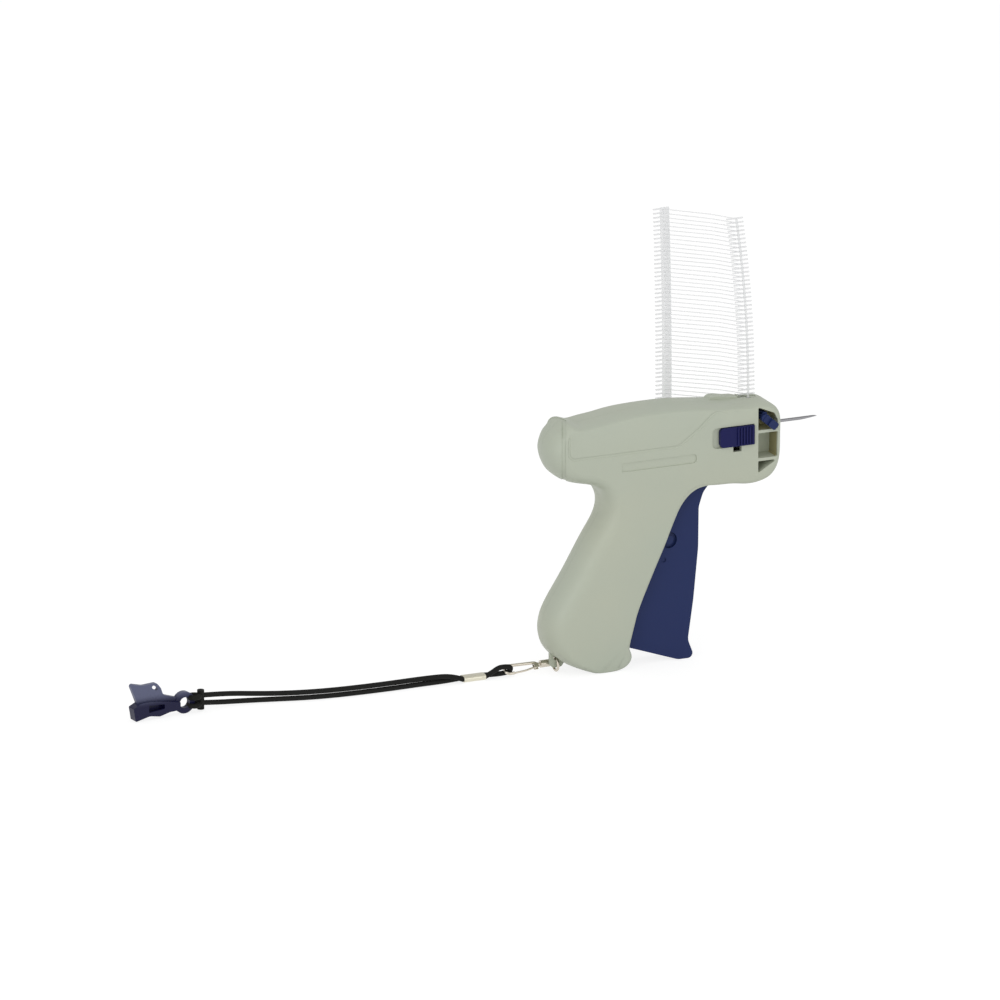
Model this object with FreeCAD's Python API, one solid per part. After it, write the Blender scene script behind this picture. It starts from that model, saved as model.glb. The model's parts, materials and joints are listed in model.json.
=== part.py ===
import FreeCAD, Part
import math
import os

from FreeCAD import Placement, Rotation, Vector

# Garment tag attacher.  Millimetres.  +X points the way the needle points, +Y is the gun's left
# side, +Z is up.  The origin is the middle of the flat patch under the grip, on the table.

# ---- case: two moulded shells that meet on the plane Y = 0 ----
CASE_HALF = 13.0           # from the seam plane to a side face
WALL = 2.2                 # wall of both shells
SEAM_GAP = 0.1             # dark line left between the shells
FIT = 0.3                  # room between pieces that do not touch
RUN = 0.05                 # radial room of a pin that turns or slides in its hole
PATCH_HEIGHT = 0.0         # table plane, where the grip is flat

# Side outline at the seam plane, clockwise from the back of the barrel: X, Z, and how the edge is
# rounded towards the side face (how far it draws in, and over what width).
CASE_OUTLINE = [
    (-23.4, 129.4, 5.0, 10.0), (-18.8, 131.4, 3.4, 9.0), (-13.2, 129.7, 2.2, 10.0),
    (-7.0, 130.1, 1.8, 10.0), (0.5, 131.0, 1.8, 10.0), (8.0, 132.2, 1.8, 10.0),
    (18.0, 133.1, 1.8, 10.0), (30.0, 133.4, 1.8, 10.0), (42.0, 133.2, 1.8, 10.0),
    (54.0, 132.1, 1.8, 10.0), (65.0, 130.9, 1.8, 10.0), (80.0, 130.2, 1.8, 9.0),
    (89.4, 129.8, 2.0, 8.0), (94.4, 127.2, 2.6, 5.0), (96.2, 122.4, 3.0, 3.5),
    (96.2, 115.0, 3.0, 3.0), (96.1, 106.0, 3.0, 3.0), (95.4, 100.0, 3.0, 3.0),
    (93.6, 95.4, 3.0, 3.0), (90.0, 91.7, 2.6, 3.0), (85.0, 89.8, 2.4, 2.8),
    (78.0, 89.2, 2.2, 2.5), (70.0, 90.2, 2.0, 2.5), (60.0, 90.6, 2.0, 2.5),
    (51.2, 90.8, 2.0, 2.5), (45.6, 88.7, 2.0, 2.5), (41.6, 83.6, 2.0, 2.0),
    (38.2, 76.8, 2.0, 2.0), (33.3, 64.9, 2.0, 2.0), (26.7, 50.6, 2.0, 2.0),
    (20.1, 35.7, 2.0, 2.0), (14.6, 22.0, 2.0, 2.0), (12.8, 15.7, 2.0, 2.0),
    (12.7, 11.5, 2.0, 2.0), (14.3, 6.9, 2.0, 2.5), (12.8, 2.8, 2.0, 3.0),
    (8.2, 0.2, 2.0, 3.0), (2.0, -0.6, 2.0, 3.0), (-4.6, -0.4, 2.2, 3.5),
    (-12.0, 2.0, 3.0, 5.0), (-18.8, 5.0, 4.0, 7.0), (-24.2, 8.8, 5.5, 9.0),
    (-28.0, 13.2, 7.5, 10.5), (-30.1, 18.6, 8.8, 11.0), (-30.6, 24.2, 9.0, 11.0),
    (-29.3, 30.6, 9.0, 11.0), (-26.5, 36.6, 9.0, 11.0), (-19.1, 48.3, 9.0, 11.0),
    (-11.9, 60.4, 9.0, 11.0), (-4.8, 72.0, 8.5, 11.0), (-0.6, 78.4, 8.0, 10.5),
    (1.4, 84.0, 7.5, 10.0), (0.9, 89.8, 7.0, 9.5), (-2.2, 95.0, 6.5, 9.0),
    (-7.8, 97.9, 6.4, 8.5), (-14.2, 99.3, 6.8, 9.0), (-20.0, 101.0, 7.6, 10.5),
    (-24.4, 103.8, 8.2, 11.5), (-27.8, 107.6, 8.5, 12.0), (-29.9, 112.4, 8.6, 12.0),
    (-30.7, 118.0, 8.6, 12.0), (-29.6, 122.4, 8.4, 12.0), (-27.0, 126.4, 7.2, 11.0),
]
OUTLINE_SPLITS = (0, 14, 33, 46)     # outline points where one face of the case ends and the next starts
SLICES = (0.0, 3.5, 6.5, 9.0, 10.8, 11.9, 12.5, 12.85, 13.0)   # section planes, for a half of 13 mm

# ---- trigger and drive train ----
TRIGGER_PIVOT = (56.0, 96.0)
TRIGGER_HALF = 6.5
TRIGGER_WALL = 2.2
TRIGGER_TURN = 16.0        # degrees of squeeze
HUB_R = 5.5
RING_AT = (36.9, 63.4)     # round mark on both sides of the trigger
RING_R = (2.3, 4.3)
RING_DEPTH = 1.5
DIMPLE_AT = (33.9, 53.3)
DIMPLE_R = 1.3
PIVOT_PIN_R = 2.0
LINK_PIN_R = 2.0
LINK_PIN_AT = (13.0, 50.0)
LEVER_PIVOT = (21.8, 68.3)
LEVER_PIN_R = 1.5
LEVER_THICK = 4.0
LEVER_ARM = 46.0           # lever pivot to drive pin
LEVER_TURN = 51.0          # degrees that the lever turns for a full squeeze
LEVER_REST = 90.0 + LEVER_TURN / 2         # the upper arm swings evenly to both sides of upright
LEVER_HUB_R = 5.0
LEVER_WIDTH = 7.0
SLOT_ROOM = 0.45           # room of a pin across its slot
DRIVE_PIN_R = 2.0
PIN_BOSS_R = 4.0
PIN_END = 11.5             # half length of the two pivot pins
TRIGGER_OUTLINE = [        # X, Z, corner radius
    (61.2, 93.0, 1.5), (55.6, 86.2, 8.0), (53.2, 79.0, 10.0), (53.0, 58.0, 60.0), (50.4, 31.0, 90.0),
    (47.4, 9.8, 7.0), (51.2, 0.0, 2.6), (42.0, 0.0, 8.0), (14.9, 9.6, 30.0),
    (8.6, 12.2, 2.0), (9.4, 44.0, 4.0), (9.0, 57.0, 3.0), (46.5, 102.0, 4.0), (58.0, 101.6, 5.0),
]
SLIDE_BACK = 8.5           # slide block behind the drive pin
SLIDE_FRONT = 10.5         # slide block ahead of the drive pin
SLIDE_WEB = 3.5
SLIDE_HALF = 5.4
SLIDE_Z = (106.3, 118.3)
RAIL_THICK = 1.6
RAIL_X = (-11.0, 55.0)
RAIL_REACH = 3.0           # how near the rails come to the seam plane

# ---- tag path ----
TAG_Y = 4.0                # plane of the tag bars, the push rod and the needle
SHOT_Z = 115.0             # height of the needle axis
TAG_X = 84.0               # middle of the tag bars
TAG_COUNT = 50
TAG_PITCH = 2.2
BAR_LENGTH = 9.0
BAR_R = 0.45
FILAMENT_R = 0.25
FILAMENT_RUN = (-31.5, 30.7)       # from a tag bar to its paddle, in X and Y
FILAMENT_BOW = 0.8         # how far a thread bows up, at most
PADDLE_SIZE = (8.6, 1.4, 0.5)
PADDLE_BAND = (-0.6, 4.3)  # the strip that joins the paddles, from their middle
PADDLE_BAND_THICK = 0.6
RUNNER_Y = 1.6
RUNNER_R = 0.6
STUB_R = 0.3
LEAN_FROM = 134.0          # above this height the loose strip bends back
LEAN_CURVE = 0.00084       # per millimetre: lean = curve x height squared
PADDLE_LEAN = 0.24         # share of the lean that the paddles follow
ROD_R = 0.5
ROD_TIP = 77.5
NEEDLE_R = 0.8
NEEDLE_BORE = 0.6
NEEDLE_TIP = 123.0
NEEDLE_BEVEL = 10.0
NEEDLE_SLOT = 0.6
NEEDLE_BASE = (88.9, 93.0)
NEEDLE_BASE_R = 2.6
WHEEL_TEETH = 8
WHEEL_X = (79.7, 81.1)
WHEEL_ROOT_R = 1.9
WHEEL_TIP_R = 3.3
TOOTH_TIP = 0.7
TOOTH_ROOT = 1.1
AXLE_R = 0.75
WHEEL_RUNG = 2             # the wheel sits level with this tag bar, counted from the lowest
FEED_BLOCK_Y = (-1.0, 9.0)
FEED_BLOCK_OUTLINE = [(76.5, 105.0), (93.0, 105.0), (93.0, 120.0), (88.0, 125.5), (76.5, 125.5)]
CHANNEL_ROOM = 0.35
SLIT_HALF = 0.9
FIRST_BAR_Z = SHOT_Z + TAG_PITCH / 2       # the strip waits half a pitch above the shot line

# ---- nose window and needle lock ----
WINDOW_BACK = 83.0
WINDOW_FLOOR = 2.6         # floor of the window, from the seam plane
WINDOW_CELLS = [           # X, Z, corner radius
    [(83.0, 129.0, 0.6), (91.9, 125.2, 1.2), (93.8, 121.4, 0.8), (93.8, 116.9, 0.6), (83.0, 116.9, 0.4)],
    [(83.0, 115.4, 0.4), (93.8, 115.4, 0.6), (93.6, 102.3, 0.6), (83.0, 102.3, 0.4)],
    [(83.0, 100.8, 0.4), (93.6, 100.8, 0.6), (83.0, 94.6, 0.5)],
]
LOCK_PIVOT = (86.9, 122.9)
LOCK_HUB_R = 2.2
LOCK_SHAFT_R = 1.5
LOCK_PLATE_Y = (13.35, 15.1)       # depth of the thumb plate, outside the right side face
LOCK_ANGLE = -42.0
LOCK_NECK = (-0.6, 4.0)    # ends of the lever's neck, along its own line from the pivot
LOCK_NECK_Y = (11.4, 13.75)
LOCK_PLATE = (2.6, 7.4)    # ends of the thumb plate, the same way
LOCK_WIDTH = 4.1

# ---- slide button ----
BUTTON_X = (61.6, 80.6)
BUTTON_Z = (110.4, 120.5)
BUTTON_TRAVEL = 3.6
BUTTON_PROUD = 1.1
BUTTON_CORNER = 2.2        # round of the two rear corners
RECESS_DEPTH = 1.3
RIB_PITCH = 1.6
RIB_FROM = 71.0
NOTCH_X = (69.2, 73.8)
NOTCH_Z = (107.3, 110.2)

# ---- mouldings on the side faces ----
GROOVE_R = 0.9
GROOVE_DEPTH = 0.42
PANEL_LINE = [             # X, Z, corner radius
    (-20.9, 125.6, 0.0), (-20.9, 113.9, 3.6), (39.2, 113.9, 5.0), (50.6, 122.0, 30.0),
    (58.8, 129.2, 6.0), (82.0, 129.3, 0.0),
]
LABEL_X = (8.0, 49.0)
LABEL_Z = (104.2, 108.9)
LABEL_DEPTH = 0.5
COLLAR_X = (-24.0, -18.0)  # middle of the channel, on the side face and at the seam
COLLAR_WIDTH = 2.2
COLLAR_DEPTH = 0.3

# ---- screws ----
SCREWS = [(-15.5, 117.0), (6.6, 84.0), (-20.5, 20.0), (68.0, 97.6), (52.0, 125.2)]
SCREW_R = 1.25
SCREW_HEAD_R = 2.2
SCREW_HEAD = 1.6
SCREW_SEAT = 8.8           # from the seam plane to the underside of a head
SCREW_BOSS_R = 3.1
SCREW_TIP = -7.5

# ---- lug, snap hook and lanyard ----
LUG_AT = (-22.6, 7.8)      # hole of the lug
LUG_R = 3.3
LUG_HALF = 1.2
LUG_HOLE_R = 1.6
LUG_FOOT = 2.6             # underside of the lug
LUG_RING_R = 3.25          # the ring hangs upright in the lug's hole
LUG_RING_WIRE = 0.7
EYE_R = 1.6                # the swivel's eye goes round the ring's left side
EYE_WIRE = 0.4
CHAIN_Y = 3.5              # the hook lies this far to the gun's left
CHAIN_Z = 3.85
SWIVEL_X = (-29.6, -24.8)
SWIVEL_R = 1.9
HOOK_WIRE = 0.8
GATE_WIRE = 0.5
EAR_PLATE = (0.7, 1.1)      # the two plates that carry the gate, from the hook's middle plane
EAR_PIN_R = 0.35
HOOK_TILT = 35.0           # degrees that the hook lies turned about its own length
HOOK_ROUTE = [(-26.6, 0.0, 0.0), (-30.9, 0.0, 1.0), (-32.4, 1.2, 2.0), (-49.2, 1.5, 2.4), (-49.2, -3.6, 2.2),
              (-44.9, -3.4, 0.0)]
GATE_ROUTE = [(-32.6, -1.5, 0.0), (-38.6, -2.9, 10.0), (-44.6, -3.5, 0.0)]
CORD_R = 1.3
CORD_ROUTE_LOWER = [(-72.2, 4.9, 1.52), (-74.8, 4.9, 1.4), (-77.8, 4.6, 1.35), (-82.0, 4.2, 1.35),
                    (-88.0, 4.1, 1.35), (-96.0, 4.2, 1.35), (-112.0, 3.7, 1.35),
                    (-128.0, 4.1, 1.35), (-143.0, 5.1, 1.35), (-157.0, 7.4, 1.35), (-170.0, 11.0, 1.35),
                    (-181.0, 13.8, 1.4), (-191.0, 15.2, 1.7), (-200.0, 15.0, 2.4), (-209.8, 14.4, 3.6)]
CORD_ROUTE_UPPER = [(-72.2, 2.1, 1.52), (-74.8, 2.15, 2.6), (-77.8, 2.5, 3.5), (-82.0, 3.3, 4.1),
                    (-88.0, 4.0, 4.1), (-96.0, 4.4, 4.05), (-112.0, 4.1, 4.05),
                    (-128.0, 4.4, 4.05), (-143.0, 5.5, 4.05), (-157.0, 7.9, 4.05), (-170.0, 11.5, 4.1),
                    (-181.0, 14.5, 4.6), (-191.0, 15.8, 5.6), (-200.0, 15.3, 6.6), (-209.8, 14.4, 7.5)]
CRIMP_X = (-72.2, -60.4)
CRIMP_R = 1.5              # round of the crimp's two long edges
CORD_EYE_ROUTE = [(-60.4, 2.1, 1.52), (-57.2, 1.6, 3.1), (-53.6, 1.0, 5.6), (-50.2, 1.05, 5.75),
                  (-46.2, 1.7, 4.95), (-46.2, 3.8, 1.85), (-50.2, 4.25, 1.34), (-53.6, 4.3, 1.35),
                  (-57.2, 4.7, 1.4), (-60.4, 4.9, 1.52)]
CAP_RING_AT = (-220.0, 13.2, 5.6)
CAP_AIM = 6.0
CAP_RING_R = 5.6
CAP_RING_HOLE = 2.8
CAP_THICK = 3.0
CAP_BLOCK = 5.2
CAP_UPPER = [              # thin upper plate: distance behind the ring's middle, Z, corner radius
    (3.0, 8.6, 0.5), (8.1, 10.2, 3.0), (12.2, 11.6, 2.5), (13.4, 15.2, 2.0), (15.8, 18.3, 2.2),
    (23.5, 18.0, 6.0), (31.2, 20.0, 1.2), (26.6, 8.2, 1.0), (15.0, 5.0, 2.0), (3.0, 3.0, 0.5),
]
CAP_LOWER = [              # thick lower block, the same way
    (3.0, 6.6, 0.5), (10.0, 8.0, 4.0), (20.0, 9.4, 3.0), (25.6, 9.2, 1.5), (29.8, 7.2, 0.6),
    (28.6, 0.2, 0.6), (20.5, 2.0, 6.0), (14.8, 1.0, 3.0), (9.0, 2.4, 4.0), (3.0, 2.6, 0.5),
]
CAP_HOLLOW = [(12.0, 4.6, 0.6), (12.0, 7.0, 0.6), (21.0, 7.6, 0.6), (21.0, 3.8, 0.6)]
KNOT_X = -214.0
KNOT_HALF = 5.0


# ---------------------------------------------------------------- small helpers
def box(x, y, z):
    return Part.makeBox(x[1] - x[0], y[1] - y[0], z[1] - z[0], Vector(x[0], y[0], z[0]))


def rod(start, end, radius):
    a = Vector(*start)
    axis = Vector(*end) - a
    return Part.makeCylinder(radius, axis.Length, a, axis)


def rod_y(at, y, radius):
    """A round bar along Y through the point at, given as (X, Z)."""
    return rod((at[0], y[0], at[1]), (at[0], y[1], at[1]), radius)


def fuse(shapes):
    whole = shapes[0]
    if len(shapes) > 1:
        whole = whole.multiFuse(shapes[1:])
    return whole.removeSplitter()


def corner_arc(before, corner, after, radius):
    """Ends and middle of the arc of this radius that rounds a corner."""
    back = (before - corner).normalize()
    ahead = (after - corner).normalize()
    half = back.getAngle(ahead) / 2.0
    reach = radius / math.tan(half)
    centre = corner + (back + ahead).normalize() * (radius / math.sin(half))
    middle = centre + (corner - centre).normalize() * radius
    return corner + back * reach, middle, corner + ahead * reach


def rounded_edges(points, radii, closed):
    """Straight runs joined by tangent arcs; a radius of 0 leaves a corner sharp."""
    count = len(points)
    edges = []
    joints = []
    for i in range(count):
        ends_here = not closed and i in (0, count - 1)
        if ends_here or radii[i] == 0.0:
            joints.append((points[i], None, points[i]))
        else:
            joints.append(corner_arc(points[i - 1], points[i], points[(i + 1) % count], radii[i]))
    last = count if closed else count - 1
    for i in range(count):
        start, middle, end = joints[i]
        if middle is not None:
            edges.append(Part.Arc(start, middle, end).toShape())
        if i < last:
            nxt = joints[(i + 1) % count][0]
            if end.distanceToPoint(nxt) > 1e-5:
                edges.append(Part.LineSegment(end, nxt).toShape())
    return edges


def prism(corners, y):
    """A block along Y with an outline of (X, Z, corner radius)."""
    points = [Vector(c[0], y[0], c[1]) for c in corners]
    wire = Part.Wire(rounded_edges(points, [c[2] for c in corners], True))
    return Part.Face(wire).extrude(Vector(0, y[1] - y[0], 0))


def flat(corners):
    return [(x, z, 0.0) for x, z in corners]


def swept(points, radii, radius):
    """A round bar along straight runs and tangent arcs."""
    vectors = [Vector(*p) for p in points]
    path = Part.Wire(rounded_edges(vectors, radii, False))
    along = vectors[1] - vectors[0]
    ring = Part.Wire(Part.makeCircle(radius, vectors[0], along))
    return path.makePipeShell([ring], True, False), path.Length


def cord_radii(points):
    """Each arc is 0.45 of its shorter run over the tangent of half its turn."""
    radii = [0.0]
    for before, here, after in zip(points, points[1:], points[2:]):
        run_in = Vector(*here) - Vector(*before)
        run_out = Vector(*after) - Vector(*here)
        turn = run_in.getAngle(run_out)
        radii.append(0.45 * min(run_in.Length, run_out.Length) / math.tan(turn / 2.0))
    return radii + [0.0]


def turned_y(at, angle, pivot):
    """A point (X, Z) turned about the Y axis through pivot, by the right-hand rule."""
    a = math.radians(angle)
    x = at[0] - pivot[0]
    z = at[1] - pivot[1]
    return (pivot[0] + x * math.cos(a) + z * math.sin(a), pivot[1] - x * math.sin(a) + z * math.cos(a))


def mirrored(shape):
    return shape.mirror(Vector(0, 0, 0), Vector(0, 1, 0))


# ---------------------------------------------------------------- case
def outline_normals(points):
    normals = []
    count = len(points)
    for i in range(count):
        ahead = points[(i + 1) % count]
        behind = points[i - 1]
        tangent = Vector(ahead[0] - behind[0], 0, ahead[1] - behind[1]).normalize()
        normals.append(Vector(tangent.z, 0, -tangent.x))
    return normals


def outline_knots(points):
    """Running length along the seam-plane outline, the same for every section."""
    knots = [0.0]
    for here, ahead in zip(points, points[1:] + points[:1]):
        knots.append(knots[-1] + math.hypot(ahead[0] - here[0], ahead[1] - here[1]))
    return knots


def outline_wire(y, half, inset):
    """The case outline at a distance y from the seam plane, drawn in by the edge rounding."""
    points = []
    for (x, z, depth, reach), normal in zip(CASE_OUTLINE, outline_normals(CASE_OUTLINE)):
        share = max(0.0, (y - (half - reach)) / reach)
        drawn_in = depth * (1.0 - math.sqrt(max(0.0, 1.0 - share * share))) + inset
        points.append(Vector(x, -y, z) + normal * drawn_in)
    knots = outline_knots(CASE_OUTLINE)
    curve = Part.BSplineCurve()
    curve.interpolate(Points=points, PeriodicFlag=True, Parameters=knots)
    ends = [knots[i] for i in OUTLINE_SPLITS] + [knots[-1]]
    return Part.Wire([curve.toShape(a, b) for a, b in zip(ends, ends[1:])])


def half_case(inset, seam):
    """The right half of the case, or the space that lies `inset` inside it."""
    half = CASE_HALF - inset
    planes = [y * half / SLICES[-1] for y in SLICES]
    planes[0] = seam
    solid = Part.makeLoft([outline_wire(y, half, inset) for y in planes], True, True)
    if solid.Volume < 0:
        solid.reverse()
    return solid


def panel_grooves():
    """The moulded line around the raised rear panel of the right side face."""
    side = -CASE_HALF - GROOVE_R + GROOVE_DEPTH
    points = [(x, side, z) for x, z, _ in PANEL_LINE]
    line, _ = swept(points, [r for _, _, r in PANEL_LINE], GROOVE_R)
    return line


def label_recess():
    corners = [(LABEL_X[0], LABEL_Z[0], 0.6), (LABEL_X[1], LABEL_Z[0], 1.6),
               (LABEL_X[1], LABEL_Z[1], 1.6), (LABEL_X[0], LABEL_Z[1], 0.6)]
    return prism(corners, (-CASE_HALF - 1.0, -CASE_HALF + LABEL_DEPTH))


def collar_groove(outer):
    """A shallow channel round the back of the barrel, further forward at the seam than on the side."""
    half = COLLAR_WIDTH / 2
    low = 97.0
    corners = [(COLLAR_X[0] - half, -CASE_HALF - 1), (COLLAR_X[0] + half, -CASE_HALF - 1),
               (COLLAR_X[0] + half, -CASE_HALF), (COLLAR_X[1] + half, 0), (COLLAR_X[1] + half, 1),
               (COLLAR_X[1] - half, 1), (COLLAR_X[1] - half, 0), (COLLAR_X[0] - half, -CASE_HALF)]
    points = [Vector(x, y, low) for x, y in corners]
    slab = Part.Face(Part.makePolygon(points + points[:1])).extrude(Vector(0, 0, 140.0 - low))
    return slab.common(outer).cut(half_case(COLLAR_DEPTH, 0.0))


def trigger_mouth():
    """The way through the front of the grip and the belly of the barrel for the trigger."""
    y = (-TRIGGER_HALF - FIT, TRIGGER_HALF + FIT)
    corners = [(8.0, 8.6), (16.0, 8.6), (30.0, 30.0), (64.0, 86.0), (61.8, 95.0), (44.0, 95.0), (20.0, 60.0)]
    return prism(flat(corners), y)


def rails():
    """Two ribs of the right shell that the ejector slide runs between."""
    reach = (-CASE_HALF + WALL - 0.5, -RAIL_REACH)
    low = box(RAIL_X, reach, (SLIDE_Z[0] - FIT - RAIL_THICK, SLIDE_Z[0] - FIT))
    high = box(RAIL_X, reach, (SLIDE_Z[1] + FIT, SLIDE_Z[1] + FIT + RAIL_THICK))
    guide = box(RAIL_X, (-CASE_HALF + WALL - 0.5, -SLIDE_HALF - FIT),
                (SLIDE_Z[0] + 3.0, SLIDE_Z[0] + 3.0 + RAIL_THICK))
    return [low, high, guide]


def pin_bosses():
    """Right-hand bosses for the trigger pin and the lever pin."""
    y = (-CASE_HALF + WALL - 0.5, -TRIGGER_HALF - FIT)
    return [rod_y(TRIGGER_PIVOT, y, PIN_BOSS_R), rod_y(LEVER_PIVOT, y, PIN_BOSS_R - 0.5)]


def screw_bosses():
    return [rod_y(at, (-CASE_HALF + WALL - 0.5, -SEAM_GAP / 2), SCREW_BOSS_R) for at in SCREWS]


def lug_half():
    """Half of the lanyard lug under the back of the grip."""
    x, z = LUG_AT
    y = (-LUG_HALF, -SEAM_GAP / 2)
    return prism([(x - LUG_R, z + 6.0, 0.0), (x - LUG_R, LUG_FOOT, 2.0), (x + LUG_R - 0.6, LUG_FOOT, 2.2),
                  (x + 8.0, z + 3.0, 0.0)], y)


def hollow_shell(kept):
    """One shell drawn on the right: the case less its cavity, with the kept ribs left standing in it."""
    seam = SEAM_GAP / 2
    outer = half_case(0.0, seam)
    inside = kept[0].multiFuse(kept[1:] + rails() + pin_bosses() + screw_bosses())
    cavity = half_case(WALL, seam).cut(inside.common(half_case(WALL - 0.6, seam)))
    below = box((-60, 60), (-20, 20), (-5.0, PATCH_HEIGHT))
    shell = outer.cut(panel_grooves()).cut(label_recess()).cut(collar_groove(outer)).cut(cavity)
    shell = shell.fuse(lug_half()).cut(trigger_mouth()).cut(below)
    shell = shell.cut(rod_y(LUG_AT, (-LUG_RING_R - 1.5, 1), LUG_HOLE_R))
    for at, radius in ((TRIGGER_PIVOT, PIVOT_PIN_R), (LEVER_PIVOT, LEVER_PIN_R)):
        shell = shell.cut(rod_y(at, (-PIN_END, PIN_END), radius))
    return shell


def right_housing():
    nose = box((WINDOW_BACK - 1.6, 100), (-20, -WINDOW_FLOOR + 1.3), (88, 140))
    shell = hollow_shell([nose])
    for cell in WINDOW_CELLS:
        shell = shell.cut(prism(cell, (-20, -WINDOW_FLOOR)))
    shell = shell.cut(rod_y(LOCK_PIVOT, (-20, 1), LOCK_SHAFT_R + RUN))
    back = BUTTON_X[0] - BUTTON_TRAVEL - FIT
    front = BUTTON_X[1] + FIT
    low = BUTTON_Z[0] - FIT
    high = BUTTON_Z[1] + FIT
    round_in = BUTTON_CORNER + FIT
    recess = prism([(back, low, round_in), (front, low, 0.4), (front, high, 0.4), (back, high, round_in)],
                   (-20, -CASE_HALF + RECESS_DEPTH))
    shell = shell.cut(recess).cut(button_slot())
    shell = shell.cut(box(NOTCH_X, (-20, -CASE_HALF + WALL + 1), NOTCH_Z))
    for at in SCREWS:
        shell = shell.cut(rod_y(at, (SCREW_TIP, 1), SCREW_R))
    return shell


def button_stem(room):
    """The neck of the slide button, or its slot in the case when there is room added."""
    travel = BUTTON_TRAVEL if room else 0.0
    return ((BUTTON_X[0] + 4.4 - travel - room, BUTTON_X[1] - 5.3 + room),
            (BUTTON_Z[0] + 3.4 - room, BUTTON_Z[1] - 3.6 + room))


def button_slot():
    x, z = button_stem(FIT)
    return box(x, (-20, -CASE_HALF + WALL + 1), z)


def tag_channel(room, top):
    """The space that the strip of tags comes down through, open at the top."""
    bottom = FIRST_BAR_Z - TAG_PITCH - BAR_R - FIT
    half = BAR_LENGTH / 2 + CHANNEL_ROOM + room
    bars = box((TAG_X - half, TAG_X + half),
               (TAG_Y - BAR_R - CHANNEL_ROOM - room, TAG_Y + BAR_R + CHANNEL_ROOM + room), (bottom, top))
    runner = box((TAG_X - RUNNER_R - FIT - room, TAG_X + RUNNER_R + FIT + room),
                 (RUNNER_Y - RUNNER_R - FIT - room, TAG_Y), (80.0, top))
    ahead = Vector(FILAMENT_RUN[0], FILAMENT_RUN[1], 0).normalize()
    across = Vector(ahead.y, -ahead.x, 0) * (SLIT_HALF + room)
    start = Vector(TAG_X, TAG_Y, bottom) - ahead * 0.2
    finish = start + ahead * 22.0
    slit = Part.Face(Part.makePolygon([start - across, start + across, finish + across, finish - across,
                                       start - across])).extrude(Vector(0, 0, top - bottom))
    return fuse([bars, runner, slit])


def needle_way():
    """The slot beside the needle that lets the tag's thread travel forwards."""
    return box((TAG_X - 2.0, 100), (TAG_Y, 20), (SHOT_Z - 0.5, SHOT_Z + 0.5))


def left_housing():
    deep = CASE_HALF - WALL + 0.5
    guide_wall = box((60.5, 62.5), (-deep, 2.0 - TAG_Y), (110, 122))
    ledge = box((78.0, 92.0), (-deep, -2.0), (103.1, 104.7))
    fence = box((78.0, 79.6), (-deep, -FEED_BLOCK_Y[1] - FIT), (104.7, 112.0))
    shell = mirrored(hollow_shell([guide_wall, ledge, fence]))
    guard = prism([(61.4, 130.0, 0.0), (82.0, 129.2, 0.0), (80.0, 130.7, 1.5), (72.5, 131.3, 8.0),
                   (68.0, 132.2, 2.0), (64.6, 132.2, 2.5)], (3.2, 9.4))
    shell = shell.fuse(guard)
    shell = shell.cut(rod((58, TAG_Y, SHOT_Z), (64, TAG_Y, SHOT_Z), ROD_R + 2 * RUN))
    shell = shell.cut(rod((90, TAG_Y, SHOT_Z), (100, TAG_Y, SHOT_Z), NEEDLE_R + FIT))
    shell = shell.cut(tag_channel(0.25, 140.0)).cut(needle_way())
    for at in SCREWS:
        shell = shell.cut(rod_y(at, (SCREW_SEAT, 20), SCREW_HEAD_R + 0.2))
        shell = shell.cut(rod_y(at, (-1, 20), SCREW_R + 2 * RUN))
    return shell


def housing_screws():
    """Five identical cross-head screws, put in from the left."""
    seat = SCREW_SEAT
    group = []
    for at in SCREWS:
        head = rod_y(at, (seat, seat + SCREW_HEAD), SCREW_HEAD_R)
        shank = rod_y(at, (SCREW_TIP, seat), SCREW_R)
        x, z = at
        y = (seat + SCREW_HEAD - 0.8, seat + SCREW_HEAD + 1)
        cross = fuse([box((x - 1.5, x + 1.5), y, (z - 0.25, z + 0.25)),
                      box((x - 0.25, x + 0.25), y, (z - 1.5, z + 1.5))])
        group.append(fuse([head, shank]).cut(cross))
    return Part.makeCompound(group)


# ---------------------------------------------------------------- trigger and drive
def trigger_blade(draw_in, y):
    """The trigger's side outline as a block, with its edge drawn in."""
    points = [Vector(x, y[0], z) for x, z, _ in TRIGGER_OUTLINE]
    face = Part.Face(Part.Wire(rounded_edges(points, [r for _, _, r in TRIGGER_OUTLINE], True)))
    if draw_in:
        face = face.makeOffset2D(-draw_in)
    return face.extrude(Vector(0, y[1] - y[0], 0))


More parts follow.
